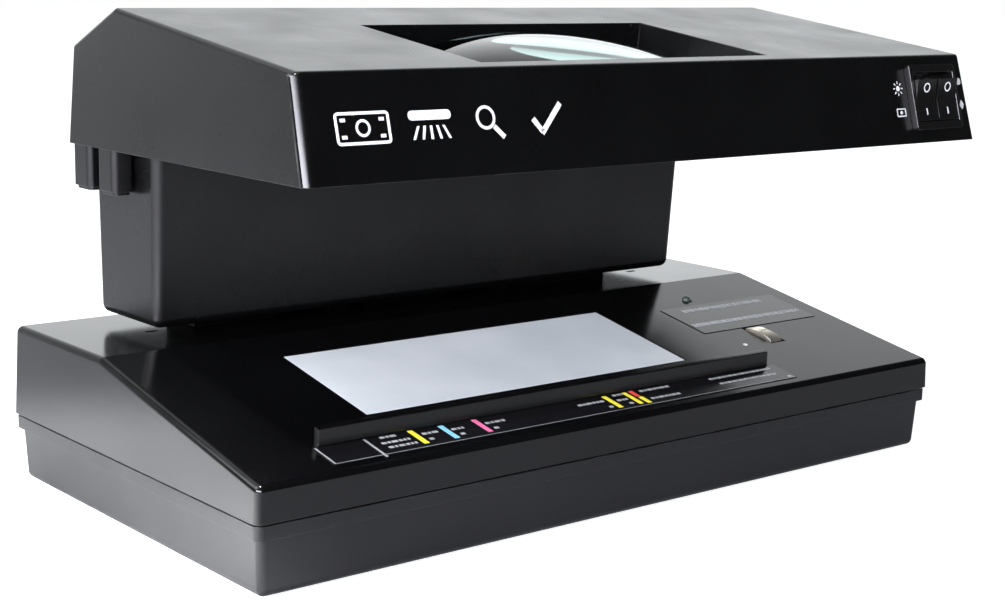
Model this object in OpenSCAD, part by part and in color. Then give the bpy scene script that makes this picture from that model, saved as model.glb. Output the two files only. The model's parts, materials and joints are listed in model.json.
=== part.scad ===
// Counter-top bill detector: a sloped base with a back-lit window and a magnetic head, a column
// at the rear, and an overhanging head with an ultraviolet lamp, a magnifier and two rockers.
// Millimetres, +Z up, front towards -Y. Inside the modules X = 0 is the column's centre and Z = 0
// is the tray's underside; place() moves all of it so that the origin is the bottom centre of
// the whole object, on the surface that the feet stand on.

/* [Base] */
// Width of the base
base_w = 266.1; // [264:0.1:272]
// Depth of the base
base_d = 141.9; // [140:0.1:146]
// Sideways offset of the base from the column
base_x = 1.7; // [1:0.1:2.5]
// Distance of the base's centre behind the bill deck's reference line
base_y = 1.6; // [1:0.1:2]
// Height of the seam between tray and cover
seam_z = 20.3; // [19:0.1:22]
// Height of the cover at its front edge
front_z = 30.3; // [29:0.1:32]
// Height of the flat rear deck
deck_z = 47.5; // [46:0.1:50]
// Distance of the deck's fold behind the reference line
fold_y = 17.1; // [14:0.1:20]
// Height of the rubber feet below the tray
foot_h = 1.2; // [1:0.1:2]
// Wall thickness of the base mouldings
base_wall = 2.5; // [2:0.1:3]

/* [Bill deck] */
// Length of the stop rail that squares the bill
rail_w = 173; // [165:1:178]
// Height of the stop rail above the deck
rail_h = 4.5; // [3:0.1:5]
// Centre of the rail and the window, from the column's centre
rail_x = -16.5; // [-20:0.5:-14]
// Width of the back-lit window
window_w = 120; // [100:1:130]
// Depth of the back-lit window
window_d = 40; // [30:1:42]

/* [Column] */
// Width of the column at its top
column_w = 213.3; // [208:0.1:216]
// Front of the column, behind the reference line
column_y = 25.2; // [24:0.1:27]
// Rear of the column, behind the reference line
column_back = 63.7; // [63:0.1:63.7]
// Gap between deck and column, bridged by the pedestal blocks
column_gap = 3.2; // [3:0.1:5]

/* [Head] */
// Width of the head at its lower edge
head_w = 270.2; // [266:0.1:272]
// Sideways offset of the head from the column
head_shift = 20.05; // [19:0.05:21]
// Height of the head's lower edge
head_z = 103.5; // [100:0.5:106]
// Wall thickness of the head's cover
head_wall = 2.2; // [1.8:0.1:2.5]

/* [Magnifier] */
// Width of the magnifier's well
well_w = 114; // [113:0.5:115]
// Depth of the magnifier's well
well_d = 58; // [57.5:0.1:58.5]
// Radius of the lens dome
dome_r = 145; // [140:1:160]

/* [Rocker switches] */
// Centre of the switch, from the column's centre
switch_x = 135; // [133:0.5:136]
// Distance between the two rockers
rocker_pitch = 10.9; // [10.8:0.1:11]
// Full travel of a rocker, in degrees
rocker_travel = 20; // [16:1:22]

/* [Hidden] */
$fn = 48;

clear = 0.15;
black = [0.07, 0.07, 0.08];
steel = [0.75, 0.75, 0.77];
tube_r = 8;

half_w = base_w / 2;
half_d = base_d / 2;
front_y = base_y - half_d;
rear_y = base_y + half_d;
deck_slope = atan((deck_z - front_z) / (fold_y - front_y));
edge_r = 2.2;
side_draft = 1.5;
tub_inset = 1.4;
tub_draft = 1.3;
band_z = seam_z - 4.5;
seam_gap = 0.5;

base_boss = [half_w - 16, half_d - 16];
base_screw_r = 1.7;
foot_at = [half_w - 34, half_d - 20];

head_front = -66.5;
brow = [-58.5, 131.85];
crest = [36, 144.55];
back = [61.9, 132.85];
back_foot = 64.2;
head_lean = 0.0423;
head_inner_half = head_w / 2 - 4.5;
head_r = 1.5;
front_lean = atan((brow[0] - head_front) / (brow[1] - head_z));
top_slope = atan((crest[1] - brow[1]) / (crest[0] - brow[0]));
head_plate = 2.5;

column_z = deck_z + column_gap;
column_foot_y = column_y + 3.1;
column_foot_half = column_w / 2 - 0.9;
column_r = 3;
column_wall = 2.5;
pedestal_y = [40, 56];
// Centre and width of each block that carries the column, from left to right
pedestals = [[-71, 30], [-32.7, 8.4], [-5, 33], [34.6, 8.2], [63.3, 41]];
// The sill closes the gap behind the blocks
sill_x = [-86, 83.8];
sill_y = [54, 58];
foot_screw_x = [-75, -59, 59, 75];
foot_screw_y = 48;
harness = [-1, 48];
harness_r = 3;
head_column_screw = [[-92, 31.7], [92, 31.7], [-92, 55.2], [92, 55.2]];
recess_y = column_back - 2.5;
rear_cover_half = 97;
rear_cover_z = [58, 99];
rear_screw = [[-85, 64], [85, 64], [-85, 93], [85, 93]];

well = [8.3, -23.4];
well_wall = 2;
well_depth = 14;
dome_rise = 0.3;
lens_r = 55.4;
lens_half_d = 27.2;
lens_back = -12;
lens_screw = [[-54.5, -26.5], [54.5, -26.5], [-54.5, 26.5], [54.5, 26.5]];

view_w = 109;
view_d = 54.5;
view_y = -25.75;
lamp_y = 14.5;
lamp_z = 115.5;
uv_length = 212;
lamp_gap = [207, 18];
head_boss = [[-103, -45], [100, -45], [-104, 15], [138, 48]];
head_boss_r = 4.5;
peg_x = [-114, -107];
peg_y = [[37, 47.4], [52.5, 63.2]];
peg_h = 13.5;

switch_z = head_z + 14.4;
bezel = [23.8, 2.5, 21.8];
switch_body = [22.6, 11.5, 18.6];
rocker_cap = 9.9;
rocker_back = 8.4;
rocker_half_h = 6.9;
rocker_pivot = 3.2;
pin_r = 0.8;
pin_clear = 0.05;

window_tube_l = 136;
window_y = -20;
window_tube_z = 20;
magnet = [90.5, -33.5];
magnet_z = 22;
led = [87.4, 0];
board = [60, 50, 1.6];
board_at = [50, -5, 12];
cord_hole = [100, 9];
cord_r = 3.6;

origin = [-(base_x - half_w + head_shift + head_w / 2) / 2, -base_y, foot_h];

// ---------------------------------------------------------------- geometry helpers

function unit(v) = v / norm(v);
function inward(a, b) = let (d = unit(b - a)) [-d[1], d[0]];
function inset_corner(a, b, c, r) =
    let (m = inward(a, b), n = inward(b, c)) b + r * (m + n) / (1 + m * n);
function inset_ring(p, r) =
    let (n = len(p)) [for (i = [0 : n - 1]) inset_corner(p[(i + n - 1) % n], p[i], p[(i + 1) % n], r)];
function deck_at(y) = y > fold_y ? deck_z : deck_z - (fold_y - y) * tan(deck_slope);
function top_at(y) = brow[1] + (y - brow[0]) * tan(top_slope);
function face_at(z) = head_front + (z - head_z) * tan(front_lean);

module place() {
    translate(origin) children();
}

module at_base() {
    translate([base_x, base_y, 0]) children();
}

// Upright side profile [y, z] drawn out along X between -half and +half
module prism(profile, half) {
    rotate([90, 0, 90]) translate([0, 0, -half]) linear_extrude(2 * half) polygon(profile);
}

// The same with every edge rounded; the sides start from half at the profile's first corner and
// lean inwards by lean for every millimetre of height
module round_prism(profile, half, lean, r) {
    side = half - r * sqrt(1 + lean * lean);
    hull()
        for (p = inset_ring(profile, r), s = [-1, 1])
            translate([s * (side - lean * (p[1] - profile[0][1])), p[0], p[1]]) sphere(r, $fn = 36);
}

// Box centred on X and Y, from z0 to z1
module slab(w, d, z0, z1) {
    translate([-w / 2, -d / 2, z0]) cube([w, d, z1 - z0]);
}

// Slab with upright rounded corners
module round_slab(w, d, z0, z1, r) {
    slab(w - 2 * r, d, z0, z1);
    slab(w, d - 2 * r, z0, z1);
    for (x = [-1, 1], y = [-1, 1])
        translate([x * (w / 2 - r), y * (d / 2 - r), z0]) cylinder(r = r, h = z1 - z0);
}

module on_deck(x, y) {
    translate([x, y, deck_at(y)]) rotate([deck_slope, 0, 0]) children();
}

module on_top(x, y) {
    translate([x, y, top_at(y)]) rotate([top_slope, 0, 0]) children();
}

// Local -Y looks out of the head's front face
module on_face(x, z) {
    translate([x, face_at(z), z]) rotate([-front_lean, 0, 0]) children();
}

module at_corners(v) {
    for (x = [-1, 1], y = [-1, 1])
        translate([x * v[0], y * v[1], 0]) children();
}

// Pan-head screw, its shank pointing up from the head at z = 0
module screw(r, length, head_r, head_h) {
    difference() {
        union() {
            translate([0, 0, -head_h]) cylinder(r = head_r, h = head_h);
            cylinder(r = r, h = length);
        }
        for (a = [0, 90])
            rotate(a) slab(head_r * 1.3, head_r * 0.28, -head_h - 0.1, -head_h * 0.45);
    }
}

// Mini fluorescent tube along X with its end caps and pins
module lamp_tube(length) {
    cap = 7;
    pin = 5;
    rotate([0, 90, 0]) {
        cylinder(r = tube_r - 0.4, h = length - 2 * cap, center = true);
        for (s = [-1, 1])
            translate([0, 0, s * (length - cap) / 2]) cylinder(r = tube_r, h = cap, center = true);
        for (s = [-1, 1], y = [-2.4, 2.4])
            translate([0, y, s * (length + pin) / 2]) cylinder(r = 1.1, h = pin, center = true);
    }
}

// Lamp holder: a block with the two pin holes, its inner face at x = 0, standing on z = 0
module lamp_socket(height, tube_z) {
    difference() {
        translate([0, -9, 0]) cube([8, 18, height]);
        for (y = [-2.4, 2.4])
            translate([-0.1, y, tube_z]) rotate([0, 90, 0]) cylinder(r = 1.3, h = 6);
    }
}

// ---------------------------------------------------------------- base

module tray_outer() {
    top = seam_z + 6;
    y1 = half_d - tub_inset;
    y0 = y1 - tub_draft;
    x0 = half_w - tub_inset - tub_draft;
    intersection() {
        round_prism([[-y0, 0], [y0, 0], [y1, top], [-y1, top]], x0, -tub_draft / top, edge_r);
        slab(base_w, base_d, -1, band_z + 1);
    }
    round_slab(base_w - 1.2, base_d - 1.2, band_z, seam_z - seam_gap, edge_r);
}

module base_tray() {
    inner_w = base_w - 2 * (tub_inset + tub_draft + base_wall);
    inner_d = base_d - 2 * (tub_inset + tub_draft + base_wall);
    color(black) place() difference() {
        union() {
            at_base() difference() {
                tray_outer();
                slab(inner_w, inner_d, base_wall, seam_z + 1);
            }
            at_base() at_corners(base_boss) cylinder(r = 5.5, h = seam_z - seam_gap);
            for (x = [4, board[0] - 4], y = [4, board[1] - 4])
                translate([board_at[0] + x, board_at[1] + y, base_wall - 0.1])
                    cylinder(r = 3, h = board_at[2] - base_wall + 0.05);
            for (x = [-60, 25])
                translate([x, window_y, 0]) slab(2, 18, base_wall - 0.1, 5.95);
        }
        at_base() at_corners(base_boss) {
            translate([0, 0, -0.1]) cylinder(r = 4.3, h = 8.1);
            cylinder(r = base_screw_r + 0.1, h = seam_z);
        }
        at_base() at_corners(foot_at) translate([0, 0, -0.1]) cylinder(r = 7.3, h = 0.9);
        for (i = [-4 : 4])
            translate([i * 4.5, 41, 0]) slab(2, 22, -0.1, base_wall + 0.2);
        translate([cord_hole[0], rear_y, cord_hole[1]]) rotate([90, 0, 0]) cylinder(r = 5.1, h = 12);
    }
}

cover_low = seam_z - edge_r - 0.5;
cover_profile = [[front_y, cover_low], [rear_y, cover_low], [rear_y, deck_z], [fold_y, deck_z],
    [front_y, front_z]];
cover_lean = side_draft / (deck_z - cover_low);

module rail() {
    y0 = -54.3;
    y1 = y0 + 2.2;
    translate([rail_x, 0, 0])
        prism([[y0, deck_at(y0) - 1], [y1, deck_at(y1) - 1], [y1, deck_at(y1) + rail_h],
            [y0, deck_at(y0) + rail_h]], rail_w / 2);
}

module base_cover() {
    color(black) place() difference() {
        union() {
            translate([base_x, 0, 0]) difference() {
                round_prism(cover_profile, half_w, cover_lean, edge_r);
                prism(inset_ring(cover_profile, base_wall), half_w - side_draft - base_wall);
                translate([0, base_y, 0]) {
                    slab(base_w + 2, base_d + 2, 0, seam_z);
                    slab(base_w - 2 * base_wall, base_d - 2 * base_wall, 0, seam_z + 1);
                }
            }
            for (x = [-1, 1], y = [-1, 1])
                translate([base_x + x * base_boss[0], base_y + y * base_boss[1], seam_z])
                    cylinder(r = 4.5, h = deck_at(base_y + y * base_boss[1]) - seam_z - 1);
            rail();
            for (p = pedestals)
                translate([p[0], (pedestal_y[0] + pedestal_y[1]) / 2, 0])
                    slab(p[1], pedestal_y[1] - pedestal_y[0], deck_z - 1, column_z);
            translate([(sill_x[0] + sill_x[1]) / 2, (sill_y[0] + sill_y[1]) / 2, 0])
                slab(sill_x[1] - sill_x[0], sill_y[1] - sill_y[0], deck_z - 1, column_z);
        }
        at_base() at_corners(base_boss) cylinder(r = base_screw_r + 0.05, h = seam_z + 5);
        on_deck(rail_x, window_y) {
            slab(window_w, window_d, -10, 1);
            slab(window_w + 4, window_d + 4, -1.2, 1);
        }
        translate([magnet[0], magnet[1], 0]) slab(7, 13.4, 25, 45);
        on_deck(led[0], led[1]) translate([0, 0, -5]) cylinder(r = 1.65, h = 8);
        for (x = foot_screw_x)
            translate([x, foot_screw_y, 0]) cylinder(r = 2.2, h = column_z + 1);
        translate([harness[0], harness[1], 0]) cylinder(r = 4, h = column_z + 1);
        for (x = [-100, 99])
            translate([x, 41.5, 0]) slab(4, 2, deck_z - 0.8, deck_z + 1);
    }
}

module rubber_feet() {
    color([0.05, 0.05, 0.05]) place() at_base() at_corners(foot_at) {
        translate([0, 0, -foot_h]) cylinder(r1 = 6.2, r2 = 6.8, h = 0.6);
        translate([0, 0, 0.6 - foot_h]) cylinder(r = 6.8, h = foot_h + 0.15);
    }
}

module base_screws() {
    color(steel) place() at_base() at_corners(base_boss)
        translate([0, 0, 7.9]) screw(base_screw_r, 15, 3.2, 2.2);
}

module bill_window() {
    color([0.9, 0.9, 0.88]) place()
        on_deck(rail_x, window_y) slab(window_w + 4 - 2 * clear, window_d + 4 - 2 * clear, -1.2, -0.1);
}

module window_tube() {
    color("white") place() translate([rail_x, window_y, window_tube_z]) lamp_tube(window_tube_l);
}

module window_tube_sockets() {
    color("ivory") place() translate([rail_x, window_y, base_wall])
        for (s = [0, 1])
            mirror([s, 0, 0]) translate([window_tube_l / 2 + clear, 0, 0])
                lamp_socket(27, window_tube_z - base_wall);
}

module window_reflector() {
    sheet = 0.6;
    color("white") place() translate([rail_x, 0, 0])
        prism([[-39, 26], [-31, 6], [-9, 6], [-1, 26], [-1 - sheet, 26], [-9.4, 6 + sheet],
            [-30.6, 6 + sheet], [-39 + sheet, 26]], window_tube_l / 2 - 2);
}

module circuit_board() {
    color("darkgreen") place() translate(board_at) {
        cube(board);
        translate([30, 8, board[2]]) cube([14, 9, 3]);
        translate([10, 12, board[2]]) cylinder(r = 5, h = 12);
        translate([24, 28, board[2]]) cylinder(r = 3, h = 9);
        translate([46, 30, board[2]]) cube([10, 14, 7]);
    }
}

module buzzer() {
    color(black) place() translate([board_at[0] + 10, board_at[1] + 40, board_at[2] + board[2]])
        difference() {
            cylinder(r = 6, h = 8.5);
            translate([0, 0, 6]) cylinder(r = 1.2, h = 3);
        }
}

module transformer() {
    color("dimgray") place() translate([-78, 41, base_wall]) {
        slab(46, 12, 0, 1.2);
        slab(36, 15, 1.1, 30);
        slab(24, 27, 4, 27);
    }
}

module cord_bushing() {
    color(black) place() translate([cord_hole[0], rear_y, cord_hole[1]]) rotate([90, 0, 0])
        difference() {
            union() {
                translate([0, 0, 0.5]) cylinder(r = 6.4, h = 1.3);
                cylinder(r = 5, h = 9);
                translate([0, 0, 7]) cylinder(r = 4.9, h = 6);
            }
            translate([0, 0, -1]) cylinder(r = cord_r, h = 20);
        }
}

module magnetic_head() {
    crown = 14;
    color([0.8, 0.78, 0.7]) place() {
        intersection() {
            translate([magnet[0], magnet[1], 0]) slab(5.4, 11.6, 30, 45);
            on_deck(magnet[0], magnet[1]) translate([0, 0, 1.6 - crown]) rotate([0, 90, 0])
                cylinder(r = crown, h = 10, center = true, $fn = 96);
        }
        translate([magnet[0], magnet[1], 0]) slab(7.8, 14.4, magnet_z, 32.8);
    }
}

module magnet_holder() {
    color(black) place() translate([magnet[0], magnet[1], 0]) difference() {
        slab(11.6, 18, base_wall, 31.5);
        slab(8.4, 15, 14, 40);
    }
}

module magnet_spring() {
    wire = 0.5;
    turns = 6;
    pitch = (magnet_z - 14) / turns;
    color(steel) place() translate([magnet[0], magnet[1], 14]) {
        for (i = [0 : turns - 1])
            translate([0, 0, (i + 0.5) * pitch]) rotate_extrude()
                translate([2.6, 0]) circle(wire, $fn = 16);
        difference() {
            cylinder(r = 2.6, h = magnet_z - 14);
            translate([0, 0, -1]) cylinder(r = 2.3, h = 20);
        }
    }
}

module indicator_led() {
    legs_z = board_at[2] + board[2];
    color("red") place() {
        on_deck(led[0], led[1]) {
            translate([0, 0, -4]) cylinder(r = 1.5, h = 4);
            sphere(1.5);
            translate([0, 0, -4.6]) cylinder(r = 1.9, h = 1);
        }
        for (x = [-1, 1])
            translate([led[0] + x, led[1] + 0.8, legs_z]) cylinder(r = 0.3, h = led_leg_h());
    }
}

function led_leg_h() = deck_at(led[1]) - 4.2 - board_at[2] - board[2];

module gauge_label() {
    color([0.16, 0.16, 0.17]) place() on_deck(rail_x, -60.2) slab(177, 10.4, 0, 0.2);
}

module info_label() {
    color([0.2, 0.2, 0.22]) place() on_deck(97, -15.6) slab(55, 22, 0, 0.2);
}

// ---------------------------------------------------------------- column

module column_shell() {
    top = head_z;
    outer = [[column_foot_y, column_z], [column_back, column_z], [column_back, top + 8],
        [column_y - 0.5, top + 8]];
    inner_back = recess_y - column_wall;
    inner = [[column_foot_y + column_wall, column_z + column_wall], [inner_back, column_z + column_wall],
        [inner_back, top + 1], [column_y + column_wall, top + 1]];
    lean = (column_foot_half - column_w / 2) / (top - column_z);
    color(black) place() difference() {
        union() {
            difference() {
                round_prism(outer, column_foot_half, lean, column_r);
                slab(400, 400, top, top + 20);
                prism(inner, column_foot_half - column_wall);
            }
            for (p = head_column_screw)
                translate([p[0], p[1], top - 18]) cylinder(r = 4.5, h = 18);
            for (p = rear_screw)
                translate([p[0], recess_y - 0.5, p[1]]) rotate([90, 0, 0]) cylinder(r = 4, h = 8);
            for (x = foot_screw_x)
                translate([x, foot_screw_y, column_z + 1]) cylinder(r = 4.5, h = 11);
        }
        translate([0, recess_y, 0]) slab(156, 10, 61, 96);
        translate([0, recess_y + 5, 0])
            slab(2 * rear_cover_half + 0.4, 10, rear_cover_z[0] - 0.2, rear_cover_z[1] + 0.2);
        for (p = head_column_screw)
            translate([p[0], p[1], top - 16]) cylinder(r = 1.75, h = 20);
        for (p = rear_screw)
            translate([p[0], recess_y + 1, p[1]]) rotate([90, 0, 0]) cylinder(r = 1.35, h = 7.5);
        for (x = foot_screw_x)
            translate([x, foot_screw_y, 0]) cylinder(r = 2.05, h = column_z + 10);
        translate([harness[0], harness[1], 0]) cylinder(r = 4, h = column_z + 5);
    }
}

module column_rear_cover() {
    color(black) place() difference() {
        translate([0, recess_y + 1.25, 0]) slab(2 * rear_cover_half, 2.5, rear_cover_z[0], rear_cover_z[1]);
        for (p = rear_screw)
            translate([p[0], recess_y + 3, p[1]]) rotate([90, 0, 0]) {
                cylinder(r = 1.6, h = 4);
                cylinder(r = 2.9, h = 1.8);
            }
        for (i = [-7 : 7])
            translate([i * 6, recess_y, 0]) slab(2.4, 6, 68, 90);
    }
}

module rear_cover_screws() {
    color(steel) place() for (p = rear_screw)
        translate([p[0], recess_y + 1.25, p[1]]) rotate([90, 0, 0]) screw(1.3, 7, 2.6, 1.2);
}

module column_foot_screws() {
    color(steel) place() for (x = foot_screw_x)
        translate([x, foot_screw_y, deck_z - base_wall - 0.1]) screw(2, 15, 3.6, 2.2);
}

module wire_harness() {
    low = 25;
    high = 110.5;
    color("dimgray") place() translate([harness[0], harness[1], 0]) {
        translate([0, 0, low]) cylinder(r = harness_r, h = high - low);
        for (z = [low, high]) {
            translate([0, 0, z]) sphere(harness_r);
            translate([0, 0, z]) rotate([0, 90, 0]) cylinder(r = harness_r, h = z == low ? 45 : 17);
        }
    }
}

// ---------------------------------------------------------------- head

module head_cover() {
    low = head_z - 6;
    profile = [[face_at(low), low], [back_foot, low], back, crest, brow];
    color(black) place() difference() {
        union() {
            difference() {
                translate([head_shift, 0, 0])
                    round_prism(profile, head_w / 2 + head_lean * (head_z - low), head_lean, head_r);
                slab(500, 200, 0, head_z);
                translate([head_shift, 0, 0]) prism(inset_ring(profile, head_wall), head_inner_half);
            }
            for (p = head_boss)
                translate([p[0], p[1], head_z + head_plate])
                    cylinder(r = head_boss_r, h = boss_top(p[1]) - head_z - head_plate);
            on_top(well[0], well[1])
                slab(well_w + 2 * well_wall, well_d + 1.2, lens_back + 2.35, -0.5);
        }
        on_top(well[0], well[1]) {
            slab(well_w, well_d, -40, 3);
            slab(well_w + 0.2, well_d + 0.2, -30, lens_back + 2.35);
        }
        on_face(switch_x, switch_z)
            translate([-switch_body[0] / 2 - 0.15, -5, -switch_body[2] / 2 - 0.15])
                cube([switch_body[0] + 0.3, 9, switch_body[2] + 0.3]);
        for (p = head_boss)
            translate([p[0], p[1], head_z]) cylinder(r = 1.75, h = 16);
    }
}

function roof_at(y) =
    y < crest[0] ? top_at(y) : crest[1] - (y - crest[0]) * (crest[1] - back[1]) / (back[0] - crest[0]);
function boss_top(y) = min(roof_at(y - head_boss_r), roof_at(y + head_boss_r)) - 1;

module head_base() {
    y0 = -63.2;
    y1 = 61.2;
    w = 2 * head_inner_half - 0.4;
    color(black) place() difference() {
        union() {
            translate([head_shift, (y0 + y1) / 2, 0]) slab(w, y1 - y0, head_z, head_z + head_plate);
            translate([well[0], view_y, 0]) slab(view_w + 3.2, view_d + 3.2, head_z, head_z + 12);
            for (x = [24, 106], y = [33, 52])
                translate([x, y, head_z]) cylinder(r = 2.5, h = 8.45);
        }
        translate([well[0], view_y, 0]) slab(view_w, view_d, head_z - 1, head_z + 20);
        translate([head_shift, lamp_y, 0]) slab(lamp_gap[0], lamp_gap[1], head_z - 1, head_z + 5);
        for (p = head_boss)
            translate([p[0], p[1], head_z - 1]) {
                cylinder(r = 1.9, h = 10);
                cylinder(r = 3.4, h = 2.2);
            }
        for (p = head_column_screw)
            translate([p[0], p[1], head_z - 1]) cylinder(r = 1.9, h = 10);
        translate([harness[0], harness[1], head_z - 1]) cylinder(r = 4, h = 10);
        for (p = peg_y)
            translate([-108.5, (p[0] + p[1]) / 2, 0]) slab(2.2, 5.4, head_z - 1, head_z + 5);
    }
}

module head_screws() {
    color(steel) place() for (p = head_boss)
        translate([p[0], p[1], head_z + 1.15]) screw(1.7, 13, 3, 1.1);
}

module head_column_screws() {
    color(steel) place() for (p = head_column_screw)
        translate([p[0], p[1], head_z + head_plate]) mirror([0, 0, 1]) screw(1.7, 16, 3.2, 2);
}

module cord_pegs() {
    mid = (peg_x[0] + peg_x[1]) / 2;
    w = peg_x[1] - peg_x[0];
    color(black) place() for (p = peg_y) {
        y = (p[0] + p[1]) / 2;
        d = p[1] - p[0];
        translate([mid, y, 0]) {
            round_slab(w, d, head_z - peg_h + 1, head_z, 2);
            translate([0, 0, head_z - peg_h]) round_slab(w - 1.6, d - 1.6, 0, 1.1, 1.5);
        }
        translate([-108.5, y, 0]) slab(1.9, 5, head_z - 1, head_z + 4);
    }
}

module lens_outline(grow) {
    intersection() {
        cylinder(r = lens_r + grow, h = 60, center = true, $fn = 128);
        slab(200, 2 * (lens_half_d + grow), -40, 40);
    }
}

module magnifier_lens() {
    color([0.8, 0.95, 0.92, 0.5]) place() on_top(well[0], well[1]) intersection() {
        lens_outline(0);
        translate([0, 0, dome_rise - dome_r]) sphere(dome_r, $fn = 200);
        slab(200, 200, lens_back, 10);
    }
}

module lens_cradle() {
    low = -well_depth;
    color(black) place() on_top(well[0], well[1]) difference() {
        slab(well_w - 0.4, well_d - 0.4, low, lens_back + 2.3);
        intersection() {
            lens_outline(clear);
            slab(200, 200, lens_back - 0.02, 20);
        }
        lens_outline(-2.5);
        for (p = lens_screw)
            translate([p[0], p[1], low - 1]) cylinder(r = 1.2, h = 4);
    }
}

module lens_screws() {
    color(steel) place() on_top(well[0], well[1]) for (p = lens_screw)
        translate([p[0], p[1], -well_depth]) screw(1.1, 2.6, 2, 1);
}

module uv_tube() {
    color([0.25, 0.2, 0.45]) place() translate([head_shift, lamp_y, lamp_z]) lamp_tube(uv_length);
}

module uv_tube_sockets() {
    color("ivory") place() translate([head_shift, lamp_y, head_z + head_plate])
        for (s = [0, 1])
            mirror([s, 0, 0]) translate([uv_length / 2 + clear, 0, 0])
                lamp_socket(19, lamp_z - head_z - head_plate);
}

module uv_reflector() {
    sheet = 0.6;
    low = head_z + head_plate + 0.5;
    outer = [[4.8, low], [4.8, 119], [9, 125.6], [20, 125.6], [24.2, 119], [24.2, low]];
    inner = [for (p = outer)
        [lamp_y + (p[0] - lamp_y) * (1 - sheet / 9.7), p[1] - (p[1] > low ? sheet : 0)]];
    color(steel) place() translate([head_shift, 0, 0])
        prism(concat(outer, [for (i = [5 : -1 : 0]) inner[i]]), uv_length / 2 - 3);
}

module ballast_board() {
    color("darkgreen") place() translate([20, 30, head_z + 8.5]) {
        cube([90, 25, 1.6]);
        translate([12, 12, 1.5]) cylinder(r = 5, h = 14);
        translate([28, 5, 1.5]) cube([16, 14, 12]);
        translate([56, 13, 1.5]) cylinder(r = 4, h = 11);
        translate([68, 6, 1.5]) cube([12, 6, 8]);
    }
}

// ---------------------------------------------------------------- rocker switches

module switch_housing() {
    b = switch_body;
    pad_in = rocker_pitch / 2 + rocker_back / 2 + 0.3;
    cavity_x = rocker_pitch / 2 + rocker_cap / 2 + 0.2;
    color(black) place() on_face(switch_x, switch_z) difference() {
        union() {
            difference() {
                union() {
                    rotate([90, 0, 0]) round_slab(bezel[0], bezel[2], 0, bezel[1], 1);
                    translate([-b[0] / 2, 0, -b[2] / 2]) cube(b);
                }
                translate([-cavity_x, -5, -8.2]) cube([2 * cavity_x, 5.3, 16.4]);
                translate([-cavity_x, 0, -8.6]) cube([2 * cavity_x, 10, 17.2]);
            }
            for (s = [-1, 1])
                translate([s * (pad_in + 0.55), 6.7, 0]) cube([1.1, 9, 6.4], center = true);
            translate([0, 6.7, 0]) cube([1.9, 9, 6.4], center = true);
        }
        translate([0, rocker_pivot, 0]) rotate([0, 90, 0])
            cylinder(r = pin_r + pin_clear, h = 2 * cavity_x + 0.6, center = true);
    }
}

// Rocker in its rest position, lower end pressed in
module rocker() {
    h = rocker_half_h;
    rise = h * tan(rocker_travel / 2);
    y0 = -2.2 - rocker_pivot;
    rotate([rocker_travel / 2, 0, 0]) {
        prism([[y0, 0], [y0 - rise, -h], [-1.9, -h + 0.5], [-1.9, h - 0.5], [y0 - rise, h]],
            rocker_cap / 2);
        prism([[-2.5, -5.6], [1.6, -2.2], [1.6, 2.2], [-2.5, 5.6]], rocker_back / 2);
        rotate([0, 90, 0]) cylinder(r = pin_r, h = rocker_back + 2, center = true);
    }
}

module uv_rocker() {
    color([0.1, 0.1, 0.11]) place() on_face(switch_x - rocker_pitch / 2, switch_z)
        translate([0, rocker_pivot, 0]) rocker();
}

module watermark_rocker() {
    color([0.1, 0.1, 0.11]) place() on_face(switch_x + rocker_pitch / 2, switch_z)
        translate([0, rocker_pivot, 0]) rocker();
}

module switch_terminals() {
    color("goldenrod") place() on_face(switch_x, switch_z)
        for (x = [-1, 1], z = [-5, 5])
            translate([x * rocker_pitch / 2 - 2.4, switch_body[1], z - 0.4]) cube([4.8, 8, 0.8]);
}

base_tray();
base_cover();
rubber_feet();
base_screws();
bill_window();
window_tube();
window_tube_sockets();
window_reflector();
circuit_board();
buzzer();
transformer();
cord_bushing();
magnetic_head();
magnet_holder();
magnet_spring();
indicator_led();
gauge_label();
info_label();
column_shell();
column_rear_cover();
rear_cover_screws();
column_foot_screws();
wire_harness();
head_cover();
head_base();
head_screws();
head_column_screws();
cord_pegs();
magnifier_lens();
lens_cradle();
lens_screws();
uv_tube();
uv_tube_sockets();
uv_reflector();
ballast_board();
switch_housing();
uv_rocker();
watermark_rocker();
switch_terminals();
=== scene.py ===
"""Looks of the counter-top bill detector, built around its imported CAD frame. Metres, +Z up."""
import json
import math

import bmesh
import bpy
from mathutils import Matrix, Vector
from mathutils.bvhtree import BVHTree


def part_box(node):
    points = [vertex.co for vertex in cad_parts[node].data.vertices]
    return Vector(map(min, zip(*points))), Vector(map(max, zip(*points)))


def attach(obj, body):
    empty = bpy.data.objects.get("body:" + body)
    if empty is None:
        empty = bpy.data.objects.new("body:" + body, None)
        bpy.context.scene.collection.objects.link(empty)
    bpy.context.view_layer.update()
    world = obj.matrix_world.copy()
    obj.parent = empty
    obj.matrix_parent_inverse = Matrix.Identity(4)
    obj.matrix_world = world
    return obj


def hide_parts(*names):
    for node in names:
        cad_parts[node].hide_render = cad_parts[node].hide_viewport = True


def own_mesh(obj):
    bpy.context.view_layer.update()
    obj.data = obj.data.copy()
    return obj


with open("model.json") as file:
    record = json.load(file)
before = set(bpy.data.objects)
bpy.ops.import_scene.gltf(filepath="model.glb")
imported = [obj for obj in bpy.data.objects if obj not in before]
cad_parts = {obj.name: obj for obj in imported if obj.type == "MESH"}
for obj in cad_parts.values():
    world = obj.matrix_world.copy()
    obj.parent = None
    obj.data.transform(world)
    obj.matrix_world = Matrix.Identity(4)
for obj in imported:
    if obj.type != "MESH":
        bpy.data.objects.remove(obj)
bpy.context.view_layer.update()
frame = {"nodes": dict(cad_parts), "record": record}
nodes = frame["nodes"]
record = frame["record"]
slot_of = {part["node"]: part["material_slot"] for part in record["subparts"]}
body_of = {node: body for body, members in record["behaviour"]["bodies"].items() for node in members}
MM = 0.001

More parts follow.
